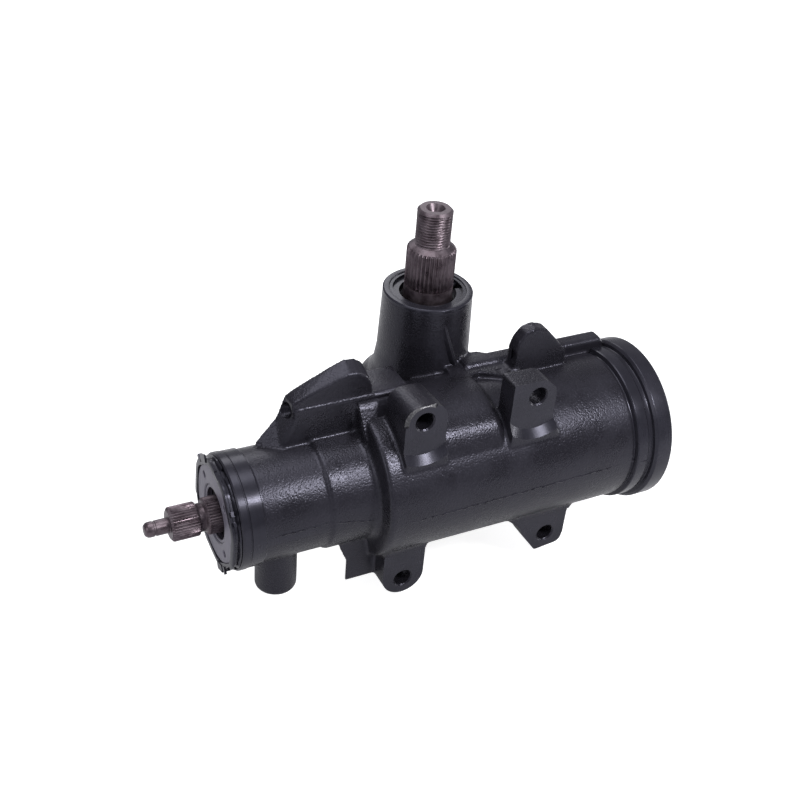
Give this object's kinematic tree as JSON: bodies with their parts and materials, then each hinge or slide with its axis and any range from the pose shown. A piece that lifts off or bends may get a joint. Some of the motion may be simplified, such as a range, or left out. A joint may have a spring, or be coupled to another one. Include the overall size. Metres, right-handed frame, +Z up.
{
  "type": "steering gearbox",
  "caption": "Recirculating-ball power steering gearbox: black cast housing with bolt lugs, serrated input shaft and upright serrated pitman shaft.",
  "frame": {"origin": "centre of the bounding box in X and Y, at the lowest point, the end of the lash adjuster screw", "axes": "+X along the worm from the input shaft to the end plug, +Y from the frame bolt faces to the pitman shaft, +Z up along the pitman shaft"},
  "size_m": [0.3344, 0.1598, 0.2255],
  "materials": {
    "casting_paint": "satin black paint over sand-cast iron",
    "plug_paint": "thin grey coat over turned steel",
    "shaft_steel": "dark bare steel",
    "ground_steel": "ground",
    "fastener_steel": "zinc plated",
    "bearing_bronze": "turned",
    "seal_rubber": "moulded",
    "filled_ptfe": "filled PTFE",
    "gasket_fibre": "pressed fibre"
  },
  "bodies": {
    "housing": {"gear_housing": "casting_paint", "side_cover": "casting_paint", "side_cover_gasket": "gasket_fibre", "side_cover_bolt_1": "fastener_steel", "side_cover_bolt_2": "fastener_steel", "side_cover_bolt_3": "fastener_steel", "side_cover_bolt_4": "fastener_steel", "side_cover_bushing": "bearing_bronze", "lash_adjuster_screw": "fastener_steel", "lash_adjuster_lock_nut": "fastener_steel", "pitman_needle_bearing": "ground_steel", "pitman_inner_seal": "seal_rubber", "pitman_backup_washer": "ground_steel", "pitman_outer_seal": "seal_rubber", "pitman_retaining_ring": "ground_steel", "adjuster_plug": "plug_paint", "adjuster_plug_o_ring": "seal_rubber", "adjuster_lock_ring": "casting_paint", "stub_needle_bearing": "ground_steel", "stub_shaft_seal": "seal_rubber", "stub_dust_seal": "seal_rubber", "stub_seal_retaining_ring": "ground_steel", "upper_thrust_bearing": "ground_steel", "lower_thrust_bearing": "ground_steel", "end_plug": "plug_paint", "end_plug_o_ring": "seal_rubber", "end_plug_retaining_ring": "ground_steel", "pressure_port_seat": "bearing_bronze", "return_port_seat": "bearing_bronze"},
    "worm": {"worm_shaft": "ground_steel", "worm_drive_pin": "ground_steel", "valve_body": "ground_steel", "valve_body_ring_1": "filled_ptfe", "valve_body_ring_2": "filled_ptfe", "valve_body_ring_3": "filled_ptfe"},
    "input": {"stub_shaft": "shaft_steel", "spool_valve": "ground_steel", "torsion_bar": "ground_steel", "torsion_bar_pin": "ground_steel"},
    "rack": {"rack_piston": "ground_steel", "rack_piston_ring": "filled_ptfe", "rack_piston_plug": "fastener_steel", "ball_return_guide_front": "ground_steel", "ball_return_guide_rear": "ground_steel", "ball_guide_clamp": "ground_steel", "ball_guide_clamp_screw_1": "fastener_steel", "ball_guide_clamp_screw_2": "fastener_steel", "recirculating_ball_1": "ground_steel", "recirculating_ball_2": "ground_steel", "recirculating_ball_3": "ground_steel", "recirculating_ball_4": "ground_steel", "recirculating_ball_5": "ground_steel", "recirculating_ball_6": "ground_steel", "recirculating_ball_7": "ground_steel", "recirculating_ball_8": "ground_steel", "recirculating_ball_9": "ground_steel", "recirculating_ball_10": "ground_steel"},
    "pitman": {"pitman_shaft": "shaft_steel"}
  },
  "joints": [
    {"name": "worm_spin", "type": "hinge", "parent": "housing", "child": "worm", "pos_m": [0.03555, -0.02565, 0.0775], "axis": [1, 0, 0], "range_deg": [-574, 574]},
    {"name": "valve_twist", "type": "hinge", "parent": "worm", "child": "input", "pos_m": [0.03555, -0.02565, 0.0775], "axis": [1, 0, 0], "range_deg": [-6, 6], "stiffness_Nm_per_rad": 58},
    {"name": "rack_slide", "type": "slide", "parent": "housing", "child": "rack", "axis": [1, 0, 0], "range_m": [-0.0187, 0.0187]},
    {"name": "pitman_turn", "type": "hinge", "parent": "housing", "child": "pitman", "pos_m": [0.03555, 0.02985, 0.0775], "axis": [0, 0, 1], "range_deg": [-41.3, 41.3]}
  ],
  "couplings": [
    {"joint": "rack_slide", "follows": "worm_spin", "m_per_rad": -0.0018621},
    {"joint": "pitman_turn", "follows": "worm_spin", "ratio": -0.07162}
  ]
}
